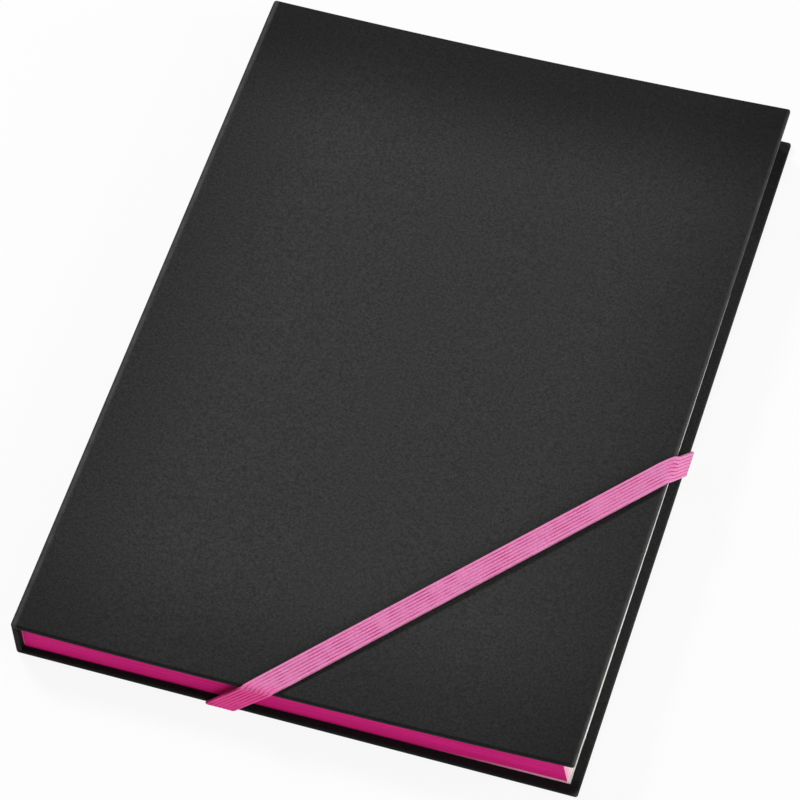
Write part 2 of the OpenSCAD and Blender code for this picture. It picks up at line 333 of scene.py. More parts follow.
# %% [markdown]
# ## The pages
#
# The pages are folded sections sewn side by side, trimmed square and dyed magenta on the tail.
# Separate leaves would be far too many faces, and a plain block looks like plastic. So the
# block is cut into its twelve sections by close pairs of planes, the line between each pair is
# drawn in a little as a groove, and the leaves inside a section are left to the material. The
# block is made flat first and then stretched column by column up to the warped cover, which
# spreads the sections as swollen paper does. The fore edge isn't quite straight: it comes out
# a little beside the band, draws in at both corners and leans back towards the spine.

# %% Cut the block into sections
BLOCK_BOTTOM, BLOCK_SPINE = block_low[2], block_low[0]
FLAT_H = 12 * MM
FLAT_TOP = BLOCK_BOTTOM + FLAT_H
TAIL_IN, FORE_IN, HEAD_IN = 1.9 * MM, 2.8 * MM, 2.4 * MM
TAIL_SKEW = 0.8 * MM
pages = block("pages", (BLOCK_SPINE, TAIL_Y + TAIL_IN, BLOCK_BOTTOM),
              (FORE_X - FORE_IN, HEAD_Y - HEAD_IN, FLAT_TOP))
pick("VERT", lambda v: v.co.x > 0 and v.co.y < 0)
bpy.ops.transform.translate(value=(0, TAIL_SKEW, 0))
for bend in (TAIL_Y + 16 * MM, 50 * MM):
    cut(lambda f: True, (0, bend, 0), (0, 1, 0))
for low_y, high_y, inward in ((TAIL_Y, TAIL_Y + 10 * MM, 0.55), (TAIL_Y + 10 * MM, 0, -0.3),
                              (0, 60 * MM, 0.03), (60 * MM, HEAD_Y, 0.57)):
    pick("VERT", lambda v: v.co.x > 0 and low_y < v.co.y < high_y)
    bpy.ops.transform.translate(value=(-inward * MM, 0, 0))
# the upper leaves stand further in, because the pages lean back towards the spine
pick("VERT", lambda v: v.co.x > 0 and v.co.z > FLAT_TOP - MM)
bpy.ops.transform.translate(value=(-1.5 * MM, 0, 0))
SECTIONS = 12
GROOVE_EDGE, GROOVE_DEPTH = 0.07 * MM, 0.06 * MM
section_lines = [BLOCK_BOTTOM + FLAT_H * k / SECTIONS for k in range(1, SECTIONS)]
for z in section_lines:
    for shift in (-GROOVE_EDGE, 0, GROOVE_EDGE):
        cut(lambda f: True, (0, 0, z + shift), (0, 0, 1))
on_line = lambda z: any(abs(z - line) < 0.01 * MM for line in section_lines)
pick("EDGE", lambda e: all(on_line(v.co.z) for v in e.verts))
bpy.ops.transform.shrink_fatten(value=-GROOVE_DEPTH)
report(pages)

# %% [markdown]
# A UV map made now, while the block is flat, keeps the leaves parallel to the sections after
# the block is stretched: cube projection lays every cut side out with its height upwards. Then
# the columns are cut, and each one is scaled from the bottom to its own height.

# %% Unwrap, then stretch the block to the curve
bpy.ops.mesh.select_all(action="SELECT")
bpy.ops.uv.cube_project(cube_size=FLAT_H, correct_aspect=False)
COLUMNS = 24
column = (FORE_X - 2.5 * MM - BLOCK_SPINE) / COLUMNS
for k in range(1, COLUMNS):
    cut(lambda f: True, (BLOCK_SPINE + column * k, 0, 0), (1, 0, 0))
# the cover and the endpapers lie above the pages
ABOVE_PAGES = 2.15 * MM
stretched = []
for k in range(COLUMNS + 1):
    x = BLOCK_SPINE + column * k
    if pick("VERT", lambda v: abs(v.co.x - x) < column / 2):
        factor = (cover_height(x) - ABOVE_PAGES - BLOCK_BOTTOM) / FLAT_H
        bpy.ops.transform.resize(value=(1, 1, factor), center_override=(0, 0, BLOCK_BOTTOM))
        stretched.append(round(factor, 3))
print("columns stretched:", len(stretched), "by", min(stretched), "to", max(stretched))

# %% [markdown]
# ## The elastic band
#
# The band is a flat woven elastic, 6.3 mm wide, with seven cords that show as ribs. It comes
# out of its slot in the back cover, runs under the cover, folds over the edge, crosses the
# corner of the front cover and goes back the same way at the tail. Its cross section is made
# once from a grid, ribs and all, and then extruded and turned along each hook. The two hooks
# are joined over the cover with a bridge, which keeps every rib in one line.

# %% The band's cross section
RIBS = 7
ACROSS = RIBS * 6
BAND_W, BAND_T = 6.3 * MM, 0.9 * MM
CLEAR = 0.12 * MM
SLOT_IN = 9 * MM


def band_section(name, half):
    """A flat strip as wide as the band, thinner in the lines between the ribs."""
    strip = start(name, bpy.ops.mesh.primitive_grid_add, x_subdivisions=ACROSS, y_subdivisions=1,
                  size=1, location=(0, 0, 0), scale=(2 * half, BAND_T, 1))
    across = lambda v: v.co.x / (2 * half) + 0.5
    rib = lambda v: (across(v) * RIBS) % 1
    off_top = lambda v: min(rib(v), 1 - rib(v))
    pick("VERT", lambda v: off_top(v) < 0.05)
    bpy.ops.transform.resize(value=(1, 0.74, 1), center_override=(0, 0, 0))
    pick("VERT", lambda v: 0.1 < off_top(v) < 0.2)
    bpy.ops.transform.resize(value=(1, 0.93, 1), center_override=(0, 0, 0))
    pick("VERT", lambda v: min(across(v), 1 - across(v)) < 0.001)
    bpy.ops.transform.resize(value=(1, 0.6, 1), center_override=(0, 0, 0))
    bpy.ops.object.mode_set(mode="OBJECT")
    marks = strip.data.attributes.new("across", "FLOAT", "POINT")
    for vertex, mark in zip(strip.data.vertices, marks.data):
        mark.value = vertex.co.x / (2 * half) + 0.5
    return edit(strip)


def band_route(high, back, radius):
    """Steps of one hook, each [distance in from the edge, height, turn of the section in degrees,
    share of the side's slant, share of the slant on the front cover]."""
    half, offset = BAND_T / 2, CLEAR + BAND_T / 2
    seat = COVER_T - offset
    steps = [(SLOT_IN + 12 * MM, seat, 0, 0, 0), (SLOT_IN + 0.5 * MM, seat, 0, 0, 0),
             (SLOT_IN - 0.5 * MM, half, 0, 0, 0), (3 * MM, half, 0, 0, 0), (1.5 * MM, half, 0, 0, 0)]
    for turn in range(0, 91, 15):
        a = math.radians(270 - turn)
        steps.append((offset * math.cos(a), half + offset + offset * math.sin(a), turn, turn / 90, 0))
    low, top = steps[-1], (back - offset, high - radius)
    for k in range(1, 8):
        rise = k / 8
        steps.append((low[0] + (top[0] - low[0]) * rise, low[1] + (top[1] - low[1]) * rise, 90, 1, 0))
    r = offset + radius
    for turn in range(0, 91, 10):
        a = math.radians(180 - turn)
        share = 0.6 * turn / 90
        steps.append((back + radius + r * math.cos(a), high - radius + r * math.sin(a), 90 + turn,
                      1 - share, share))
    for inward, share in ((0.6, 0.7), (1.2, 0.8), (2, 0.9), (3.15, 1)):
        steps.append((back + radius + inward * MM, high + offset, 180, 1 - share, share))
    return steps


print("steps along one hook of the band:", len(band_route(cover_height(0), 0, 0)))

# %% [markdown]
# A hook is made by extruding the section and then moving, turning and widening its new end.
# The band slants along the cover's edge on its way up and bends gently into the direction in
# which it crosses the corner. How far it has moved along the edge is added up step by step,
# and its width is measured along that edge, so its sides stay parallel to the ribs.

# %% Extrude the two hooks
BAND_TAIL_X, BAND_FORE_Y = SPINE_X + 67 * MM, TAIL_Y + 90 * MM
RUN_X, RUN_Y = FRONT_FORE_X - BAND_TAIL_X, BAND_FORE_Y - TAIL_Y


def hook(name, route, back, shift, over, at_fore):
    """One end of the band, from its glued end up to the front cover."""
    travel = [(0.0, 0.0)]
    for (x0, z0, _, a0, b0), (x1, z1, _, a1, b1) in zip(route, route[1:]):
        far = math.hypot(x1 - x0, z1 - z0)
        travel.append((travel[-1][0] + (a0 + a1) / 2 * far, travel[-1][1] + (b0 + b1) / 2 * far))
    total = shift + over * (route[-1][0] - back)
    side = (total - over * travel[-1][1]) / travel[-1][0]

    def centre(i):
        along = shift - side * travel[i][0] - over * travel[i][1]
        if at_fore:
            return Vector((FORE_X - route[i][0], BAND_FORE_Y + along, route[i][1]))
        return Vector((BAND_TAIL_X - along, TAIL_Y + route[i][0], route[i][1]))

    def half(i):
        return BAND_W / 2 * math.hypot(1, side * route[i][3] + over * route[i][4])

    piece = band_section(name, half(0))
    only(piece)
    piece.rotation_euler = (math.pi / 2, 0, math.pi / 2 if at_fore else math.pi)
    bpy.ops.object.transform_apply(rotation=True)
    edit(piece)
    bpy.ops.mesh.select_all(action="SELECT")
    bpy.ops.transform.translate(value=centre(0))
    # without a window the rotate tool turns the other way, so the turns are given as positive
    for i in range(1, len(route)):
        extrude(*(centre(i) - centre(i - 1)))
        turn = math.radians(route[i][2] - route[i - 1][2])
        if turn:
            bpy.ops.transform.rotate(value=turn, orient_axis="Y" if at_fore else "X",
                                     center_override=centre(i))
        grow = half(i) / half(i - 1)
        bpy.ops.transform.resize(value=(1, grow, 1) if at_fore else (grow, 1, 1),
                                 center_override=centre(i))
    bpy.ops.mesh.delete(type="FACE")
    print(f"{name}: slants {side:.2f} on the side and {over:.2f} on the cover")
    return piece


fore_hook = hook("elastic", band_route(cover_height(FRONT_FORE_X), FORE_X - FRONT_FORE_X, RIM_R),
                 FORE_X - FRONT_FORE_X, FORE_Y - BAND_FORE_Y, RUN_Y / RUN_X, True)
tail_hook = hook("tail_hook", band_route(cover_height(BAND_TAIL_X), 0, 0), 0, BAND_TAIL_X - TAIL_X,
                 RUN_X / RUN_Y, False)
report(fore_hook)
report(tail_hook)

# %% Bridge the hooks over the corner
only(fore_hook, tail_hook)
bpy.ops.object.join()
elastic = edit(bpy.context.object)
loops = pick("EDGE", lambda e: e.is_boundary)
bpy.ops.mesh.bridge_edge_loops(number_cuts=28, interpolation="LINEAR")
bpy.ops.mesh.select_all(action="SELECT")
bpy.ops.mesh.normals_make_consistent(inside=False)
smooth(elastic, 60)
print("edges bridged:", loops)
report(elastic)

# %% [markdown]
# ## The folded endpaper
#
# The front endpaper is one sheet: half is pasted to the board, half lies on the pages, and it
# folds between them. Both halves are solids of the engineering model already. The fold is
# missing there, because it belongs to neither body, so a narrow strip is added: a plane on
# edge, subdivided into rows that can curl into a loop when the cover opens.

# %% The strip in the fold
FLYLEAF_Z = cover_height(FOLD_X) - 2.06 * MM
PASTED_Z = cover_height(FOLD_X) - 1.84 * MM
fold_strip = start("endpaper_fold", bpy.ops.mesh.primitive_grid_add, x_subdivisions=16,
                   y_subdivisions=1, size=1, rotation=(0, -math.pi / 2, 0),
                   location=(FOLD_X + 0.45 * MM, 0, (FLYLEAF_Z + PASTED_Z) / 2),
                   scale=(PASTED_Z - FLYLEAF_Z, 204 * MM, 1))
modify(fold_strip, "SOLIDIFY", thickness=0.15 * MM, offset=0)
smooth(fold_strip, 60)
report(fold_strip)

# %% [markdown]
# ## Finishes
#
# The effects are node groups, built once: a fibrous mottle that paper and board share, and a
# mask for a painted highlight, a slightly paler line where the spine's shoulder, the front
# cover's fore edge and the back cover's corners catch the light. A small helper lays out nodes,
# so each finish below reads as a list of what feeds what.

# %% Helpers for nodes
def colour(red, green, blue):
    """A display colour of 0 to 255 as the linear colour that shaders use."""
    def linear(c):
        c /= 255
        return c / 12.92 if c <= 0.04045 else ((c + 0.055) / 1.055) ** 2.4
    return (linear(red), linear(green), linear(blue), 1)


class Nodes:
    """Adds nodes to a tree and links them by name."""

    def __init__(self, tree):
        self.tree = tree

    def add(self, kind, inputs=None, **settings):
        node = self.tree.nodes.new(kind)
        for key, value in settings.items():
            setattr(node, key, value)
        for key, value in (inputs or {}).items():
            if isinstance(value, bpy.types.NodeSocket):
                self.tree.links.new(value, node.inputs[key])
            else:
                node.inputs[key].default_value = value
        return node

    def maths(self, operation, a, b=0.0, clamp=False):
        return self.add("ShaderNodeMath", {0: a, 1: b}, operation=operation, use_clamp=clamp).outputs[0]

    def mix(self, amount, a, b, blend="MIX"):
        node = self.add("ShaderNodeMix", data_type="RGBA", blend_type=blend)
        for socket, value in ((node.inputs[0], amount), (node.inputs[6], a), (node.inputs[7], b)):
            if isinstance(value, bpy.types.NodeSocket):
                self.tree.links.new(value, socket)
            else:
                socket.default_value = value
        return node.outputs[2]

    def smooth(self, value, low, high, to_low=0.0, to_high=1.0):
        node = self.add("ShaderNodeMapRange", {"Value": value, "From Min": low, "From Max": high,
                                               "To Min": to_low, "To Max": to_high},
                        interpolation_type="SMOOTHSTEP")
        return node.outputs["Result"]

    def noise(self, vector, scale, detail=3.0, roughness=0.5):
        return self.add("ShaderNodeTexNoise", {"Vector": vector, "Scale": scale, "Detail": detail,
                                               "Roughness": roughness}).outputs["Fac"]

    def stretched(self, vector, scale):
        return self.add("ShaderNodeMapping", {"Vector": vector, "Scale": scale}).outputs["Vector"]


def node_group(name, inputs, outputs):
    """An empty node group with named sockets, and its helper."""
    tree = bpy.data.node_groups.new(name, "ShaderNodeTree")
    for label, kind, value in inputs:
        socket = tree.interface.new_socket(name=label, in_out="INPUT", socket_type=kind)
        if value is not None:
            socket.default_value = value
    for label, kind in outputs:
        tree.interface.new_socket(name=label, in_out="OUTPUT", socket_type=kind)
    return tree, Nodes(tree), tree.nodes.new("NodeGroupInput"), tree.nodes.new("NodeGroupOutput")


def finish_material(name, roughness, specular=0.4, **constants):
    """A new material and the Principled shader in it."""
    material = bpy.data.materials.new(name)
    material.use_nodes = True
    shader = material.node_tree.nodes["Principled BSDF"]
    shader.inputs["Roughness"].default_value = roughness
    shader.inputs["Specular IOR Level"].default_value = specular
    for key, value in constants.items():
        shader.inputs[key.replace("_", " ")].default_value = value
    return material, Nodes(material.node_tree), shader


# %% Node groups: fibres, and the painted edge highlight
FLOAT, VECTOR = "NodeSocketFloat", "NodeSocketVector"
fibres, n, given, out = node_group("fibres", [("Vector", VECTOR, None), ("Scale", FLOAT, 1.0)],
                                   [("Mottle", FLOAT), ("Threads", FLOAT), ("Height", FLOAT)])
scaled = n.add("ShaderNodeVectorMath", {0: given.outputs["Vector"]}, operation="SCALE")
fibres.links.new(given.outputs["Scale"], scaled.inputs["Scale"])
place = scaled.outputs["Vector"]
fine = n.noise(place, 3200, 3, 0.7)
coarse = n.noise(place, 1300, 3, 0.6)
along = n.noise(n.stretched(place, (300, 2600, 900)), 1, 2, 0.5)
across = n.noise(n.stretched(place, (2400, 350, 900)), 1, 2, 0.5)
mottle = n.maths("ADD", n.maths("MULTIPLY", fine, 0.6), n.maths("MULTIPLY", coarse, 0.4))
threads = n.smooth(n.maths("MAXIMUM", along, across), 0.62, 0.8)
height = n.maths("ADD", fine, n.maths("MULTIPLY", threads, 0.5))
for label, socket in (("Mottle", mottle), ("Threads", threads), ("Height", height)):
    fibres.links.new(socket, out.inputs[label])

# painted highlight: a paler line is painted, in patches, where the rounded spine shoulder, the front
# cover's fore edge and the back cover's corners catch the light
edge_highlight_group, n, given, out = node_group("painted_edge_highlight", [("Vector", VECTOR, None), ("Reach", FLOAT, 0.0009)],
                                 [("Highlight", FLOAT)])
apart = n.add("ShaderNodeSeparateXYZ", {0: given.outputs["Vector"]})
off_shoulder = n.maths("ABSOLUTE", n.maths("SUBTRACT", apart.outputs["X"], SPINE_X + 1.0 * MM))
on_top = n.smooth(apart.outputs["Z"], 12.6 * MM, 13.4 * MM)
to_end = n.maths("SUBTRACT", HEAD_Y, n.maths("ABSOLUTE", apart.outputs["Y"]))
to_back_fore = n.maths("SUBTRACT", FORE_X - 0.1 * MM, apart.outputs["X"])
corner = n.maths("ADD", n.maths("MAXIMUM", to_end, 0), n.maths("MAXIMUM", to_back_fore, 0))
reach = given.outputs["Reach"]
shoulder = n.maths("SUBTRACT", 1, n.maths("DIVIDE", off_shoulder, reach), clamp=True)
tip = n.maths("SUBTRACT", 1, n.maths("DIVIDE", corner, n.maths("MULTIPLY", reach, 2.5)), clamp=True)
patches = n.smooth(n.noise(given.outputs["Vector"], 260, 4, 0.7), 0.25, 0.7, 0.4, 1)
to_fore = n.maths("DIVIDE", n.maths("SUBTRACT", FRONT_FORE_X, apart.outputs["X"]), reach)
rim = n.maths("MULTIPLY", n.maths("SUBTRACT", 1, n.maths("ABSOLUTE", to_fore), clamp=True), on_top)
both = n.maths("MAXIMUM", n.maths("MULTIPLY", n.maths("MAXIMUM", shoulder, rim), on_top), tip)
edge_highlight_group.links.new(n.maths("MULTIPLY", both, patches), out.inputs["Highlight"])
print("shared effects:", [g.name for g in bpy.data.node_groups])

# %% [markdown]
# The covering is uncoated dyed paper. Close up it is a grain of slightly paler and darker
# fibres, half a millimetre or less across, and it has a broad, dull sheen. One colour would
# look like plastic, so the grain mixes two charcoals, a few single threads lie over it, and
# the same noise is a very shallow bump. Shade is painted into the colour: the charcoal darkens
# towards the sides, the head and the tail, where the lamp's sheen falls off, and most of all
# on the tail's upright faces and the ledge in front of the tail, which lie in shadow. A paler
# grey is painted on as a highlight where the spine's shoulder, the fore edge and the back
# cover's corners catch the light.

# %% Covering paper
covering_paper, n, shader = finish_material("covering_paper", 0.7, specular=0.1)
links = covering_paper.node_tree.links
place = n.add("ShaderNodeTexCoord").outputs["Object"]
fibre = n.add("ShaderNodeGroup", {}, node_tree=fibres)
links.new(place, fibre.inputs["Vector"])
edge_highlight = n.add("ShaderNodeGroup", {}, node_tree=edge_highlight_group)
links.new(place, edge_highlight.inputs["Vector"])
tone = n.smooth(fibre.outputs["Mottle"], 0.34, 0.66)
paper = n.mix(tone, colour(36, 36, 36), colour(61, 61, 61))
apart = n.add("ShaderNodeSeparateXYZ", {0: place})
# painted shade: the charcoal darkens towards the sides, the head and the tail, where the lamp's sheen
# falls off
side_shade = n.smooth(n.maths("ABSOLUTE", apart.outputs["X"]), 36 * MM, 92 * MM, 1, 0.5)
head_shade = n.smooth(apart.outputs["Y"], 62 * MM, 101 * MM, 1, 0.36)
tail_shade = n.smooth(apart.outputs["Y"], -110 * MM, -68 * MM, 0.54, 1)
# painted shade: the tail's upright faces and the back cover's ledge in front of the tail lie in shadow
# and are painted darker
rim_shade = n.smooth(apart.outputs["Y"], TAIL_Y, TAIL_Y + 0.7 * MM, 0.3, 1)
ledge = n.maths("MAXIMUM", n.smooth(apart.outputs["Z"], 3 * MM, 6 * MM),
                n.smooth(apart.outputs["Y"], TAIL_Y + 2.4 * MM, TAIL_Y + 5 * MM, 0.4, 1))
rim_shade = n.maths("MULTIPLY", rim_shade, ledge)
left_unshaded = n.maths("MULTIPLY", n.maths("MULTIPLY", head_shade, n.maths("MULTIPLY", tail_shade, rim_shade)),
               side_shade)
# painted shade: where the shade masks fall, the charcoal is mixed towards near black
paper = n.mix(left_unshaded, colour(8, 8, 9), paper)
paper = n.mix(n.maths("MULTIPLY", fibre.outputs["Threads"], 0.1), paper, colour(70, 70, 71))
# painted highlight on the rounded edges, mixed in as a paler grey
paper = n.mix(n.maths("MULTIPLY", edge_highlight.outputs["Highlight"], 0.55), paper, colour(96, 95, 95))
bump = n.add("ShaderNodeBump", {"Height": fibre.outputs["Height"], "Distance": 0.03 * MM,
                                "Strength": 0.4})
links.new(paper, shader.inputs["Base Color"])
links.new(n.smooth(tone, 0, 1, 0.74, 0.64), shader.inputs["Roughness"])
links.new(bump.outputs["Normal"], shader.inputs["Normal"])

# %% [markdown]
# The cut pages are white at the fore edge and head, and dyed magenta at the tail. The leaves
# show as fine streaks along the cut, which the UV map lays parallel to the sections. The dye
# has crept a little way round the corner on to the fore edge, so the white edge gets a pink
# tint that fades within about a centimetre of the tail, and it has missed the lowest leaves
# towards that corner.

# %% Cut edges of the pages
leaf_edges, n, given, out = node_group("leaf_edges", [("Leaves per unit", FLOAT, 110.0)],
                                       [("Streak", FLOAT), ("Height", FLOAT)])
unwrapped = n.add("ShaderNodeUVMap").outputs["UV"]
apart = n.add("ShaderNodeSeparateXYZ", {0: unwrapped})
leaf = n.maths("MULTIPLY", apart.outputs["Y"], given.outputs["Leaves per unit"])
slow = n.maths("MULTIPLY", apart.outputs["X"], 0.6)
flat = n.add("ShaderNodeCombineXYZ", {"X": slow, "Y": leaf})
streak = n.noise(flat.outputs["Vector"], 1.0, 3, 0.6)
broad = n.add("ShaderNodeCombineXYZ", {"X": n.maths("MULTIPLY", apart.outputs["X"], 0.15),
                                       "Y": n.maths("MULTIPLY", leaf, 0.16)})
bands = n.noise(broad.outputs["Vector"], 1.0, 2, 0.5)
ridge = n.maths("ABSOLUTE", n.maths("SINE", n.maths("MULTIPLY", leaf, math.pi)))
leaf_edges.links.new(n.maths("ADD", n.maths("MULTIPLY", streak, 0.6), n.maths("MULTIPLY", bands, 0.4)),
                     out.inputs["Streak"])
leaf_edges.links.new(n.maths("ADD", n.maths("MULTIPLY", ridge, 0.6), streak), out.inputs["Height"])


def cut_edge(name, dark, light, tail_tint):
    material, n, shader = finish_material(name, 0.75, specular=0.3)
    links = material.node_tree.links
    leaves = n.add("ShaderNodeGroup", {}, node_tree=leaf_edges)
    tone = n.smooth(leaves.outputs["Streak"], 0.32, 0.68)
    edge = n.mix(tone, dark, light)
    apart = n.add("ShaderNodeSeparateXYZ", {0: n.add("ShaderNodeTexCoord").outputs["Object"]})
    if tail_tint:
        uneven = n.maths("MULTIPLY", n.maths("SUBTRACT", leaves.outputs["Streak"], 0.5), 0.012)
        reach = n.maths("ADD", apart.outputs["Y"], uneven)
        edge = n.mix(n.smooth(reach, TAIL_Y + 2.4 * MM, TAIL_Y + 8 * MM, 0.72, 0), edge,
                     colour(232, 100, 168))
    else:
        foot = n.maths("MULTIPLY", n.smooth(apart.outputs["Z"], 2.2 * MM, 2.65 * MM, 1, 0),
                       n.smooth(apart.outputs["X"], 40 * MM, 71 * MM, 0, 0.8))
        edge = n.mix(foot, edge, colour(255, 190, 222))
    bump = n.add("ShaderNodeBump", {"Height": leaves.outputs["Height"], "Distance": 0.03 * MM,
                                    "Strength": 0.6})
    links.new(edge, shader.inputs["Base Color"])
    links.new(n.smooth(tone, 0, 1, 0.82, 0.66), shader.inputs["Roughness"])
    links.new(bump.outputs["Normal"], shader.inputs["Normal"])
    return material


white_edge = cut_edge("page_edges_white", colour(216, 214, 209), colour(246, 244, 240), True)
dyed_edge = cut_edge("page_edges_dyed", colour(203, 8, 116), colour(233, 18, 137), False)

# %% [markdown]
# The endpapers are heavier, uncoated white paper with a faint fibre. They were trimmed and
# dyed with the pages, so their rim at the tail took a little of the dye. The boards are
# greyboard: recycled pulp with light and dark flecks, seen only where the case is open.

# %% Endpapers, greyboard and lining
def paper_material(name, dark, light, scale, dyed_rim=False, flecks=0.0):
    material, n, shader = finish_material(name, 0.8, specular=0.3)
    links = material.node_tree.links
    place = n.add("ShaderNodeTexCoord").outputs["Object"]
    fibre = n.add("ShaderNodeGroup", {"Scale": scale}, node_tree=fibres)
    links.new(place, fibre.inputs["Vector"])
    tone = n.smooth(fibre.outputs["Mottle"], 0.35, 0.65)
    sheet = n.mix(tone, dark, light)
    if flecks:
        spots = n.smooth(n.noise(place, 1900, 2, 0.5), 0.62, 0.7)
        sheet = n.mix(n.maths("MULTIPLY", spots, flecks), sheet, colour(92, 86, 80))
    if dyed_rim:
        apart = n.add("ShaderNodeSeparateXYZ", {0: place})
        # the pages' tail edge, which runs askew from the spine to the fore corner
        askew = TAIL_SKEW / (145 * MM)
        edge_y = n.maths("ADD", n.maths("MULTIPLY", apart.outputs["X"], askew),
                         TAIL_Y + TAIL_IN - askew * BLOCK_SPINE)
        beyond = n.maths("SUBTRACT", edge_y, apart.outputs["Y"])
        dye = n.maths("MULTIPLY", n.smooth(beyond, -0.1 * MM, 0.05 * MM),
                      n.smooth(apart.outputs["X"], 30 * MM, 72 * MM, 1, 0.35))
        sheet = n.mix(dye, sheet, colour(196, 16, 108))
    bump = n.add("ShaderNodeBump", {"Height": fibre.outputs["Height"], "Distance": 0.03 * MM,
                                    "Strength": 0.35})
    links.new(sheet, shader.inputs["Base Color"])
    links.new(n.smooth(tone, 0, 1, 0.85, 0.76), shader.inputs["Roughness"])
    links.new(bump.outputs["Normal"], shader.inputs["Normal"])
    return material


endpaper = paper_material("endpaper", colour(214, 212, 206), colour(234, 232, 227), 0.6, dyed_rim=True)
greyboard = paper_material("greyboard", colour(128, 123, 116), colour(158, 152, 144), 0.6, flecks=0.6)
lining = paper_material("lining_paper", colour(214, 208, 196), colour(228, 223, 212), 0.8, dyed_rim=True)

# %% [markdown]
# The elastic is woven from pink yarn over rubber cords. The cords are real ribs in the mesh.
# The attribute `across` runs from one selvedge to the other, and the material uses it to
# paint shade into the lines between the ribs, some more than others, and to pale the two
# selvedges. On the side that hangs over the tail edge, facing away from the key lamp, shade
# is painted in as a deeper, darker pink. The yarn is a fine noise, and a little sheen stands
# for the fuzz.

# %% Elastic
band_yarn, n, shader = finish_material("band_yarn", 0.78, specular=0.2, Sheen_Weight=0.12,
                                       Sheen_Roughness=0.5)
links = band_yarn.node_tree.links
mark = n.add("ShaderNodeAttribute", attribute_name="across").outputs["Fac"]
place = n.add("ShaderNodeTexCoord").outputs["Object"]
rib = n.maths("FRACT", n.maths("MULTIPLY", mark, RIBS))
off_top = n.maths("MINIMUM", rib, n.maths("SUBTRACT", 1, rib))
wander = n.maths("MULTIPLY", n.maths("SUBTRACT", n.noise(place, 240, 2, 0.5), 0.5), 0.35)
# painted shade in the grooves between the ribs, deeper in some lines than in others
line = n.smooth(n.maths("ADD", off_top, wander), 0.03, 0.2, 1, 0)
groove_shade_depth = n.smooth(n.noise(place, 150, 2, 0.5), 0.35, 0.55, 0.45, 1)
yarn_noise = n.noise(place, 3600, 3, 0.6)
uneven = n.noise(place, 700, 3, 0.6)
yarn = n.mix(n.smooth(yarn_noise, 0.3, 0.7), colour(214, 104, 162), colour(242, 149, 199))
yarn = n.mix(n.smooth(uneven, 0.4, 0.65, 0, 0.45), yarn, colour(216, 134, 189))
yarn = n.mix(n.maths("MULTIPLY", line, groove_shade_depth), yarn, colour(181, 29, 106))
edge = n.maths("MINIMUM", mark, n.maths("SUBTRACT", 1, mark))
yarn = n.mix(n.smooth(edge, 0.02, 0.07, 0.35, 0), yarn, colour(232, 160, 198))
apart = n.add("ShaderNodeSeparateXYZ", {0: place})
patchy = n.maths("MULTIPLY", n.maths("SUBTRACT", uneven, 0.5), 6 * MM)
# painted shade: the side of the band over the tail edge faces away from the key lamp, so a deeper,
# darker pink is painted there
tail_shade = n.smooth(n.maths("ADD", apart.outputs["Y"], patchy), TAIL_Y - 0.4 * MM, TAIL_Y + 2.2 * MM,
                   0.88, 0)
on_side = n.smooth(apart.outputs["Z"], 12.8 * MM, 14.4 * MM, 1, 0.45)
shaded_yarn = n.mix(n.maths("MULTIPLY", line, groove_shade_depth), colour(248, 50, 152), colour(162, 4, 84))
yarn = n.mix(n.maths("MULTIPLY", tail_shade, on_side), yarn, shaded_yarn)
bump = n.add("ShaderNodeBump", {"Height": yarn_noise, "Distance": 0.08 * MM, "Strength": 0.5})
links.new(yarn, shader.inputs["Base Color"])
links.new(n.smooth(yarn_noise, 0, 1, 0.85, 0.7), shader.inputs["Roughness"])
links.new(bump.outputs["Normal"], shader.inputs["Normal"])
print("finishes:", [m.name for m in (covering_paper, white_edge, dyed_edge, endpaper, greyboard,
                                     lining, band_yarn)])

# %% [markdown]
# ## Giving every piece its finish, and some a body
#
# The new pieces stand for the solids that they cover. The back covering, the pages and the
# band ride on the body of the back cover and the pages. The front covering and the strip in
# the fold lie on both sides of the fold; they are only baked in place here. The band is fixed
# in the back cover: on the real notebook it is slipped off before the cover opens.

# %% Materials on the new pieces
def dress(obj, *materials):
    obj.data.materials.clear()
    for material in materials:
        obj.data.materials.append(material)


dress(front_covering, covering_paper)
dress(back_covering, covering_paper)
dress(elastic, band_yarn)
dress(fold_strip, endpaper)
dress(pages, white_edge, dyed_edge)
edit(pages)
dyed = pick("FACE", lambda f: all(v.co.y < TAIL_Y + 3 * MM for v in f.verts))
pages.active_material_index = 1
bpy.ops.object.material_slot_assign()
smooth(pages, 30)
print("faces of the dyed tail:", dyed)

# %% Finishes on the engineering model's own solids
for name, material in (("back_board", greyboard), ("spine_board", greyboard), ("front_board", greyboard),
                       ("back_endpaper", endpaper), ("front_flyleaf", endpaper),
                       ("front_pastedown", endpaper), ("spine_lining", lining)):
    dress(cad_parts[name], material)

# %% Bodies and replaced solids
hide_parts("front_wrap")
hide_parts("back_wrap")
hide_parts("text_block")
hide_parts("elastic_band")
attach(back_covering, "back_cover_and_pages")
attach(pages, "back_cover_and_pages")
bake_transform(front_covering)
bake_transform(fold_strip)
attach(elastic, "back_cover_and_pages")
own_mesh(elastic)

# %% [markdown]
# ## The studio
#
# The notebook lies on a plain pale floor. To the camera and to gloss the floor is nearly
# white, with some of its own light mixed in so that it stays pale, and it still takes the
# notebook's shadow. To all other light it is a plain pale surface.

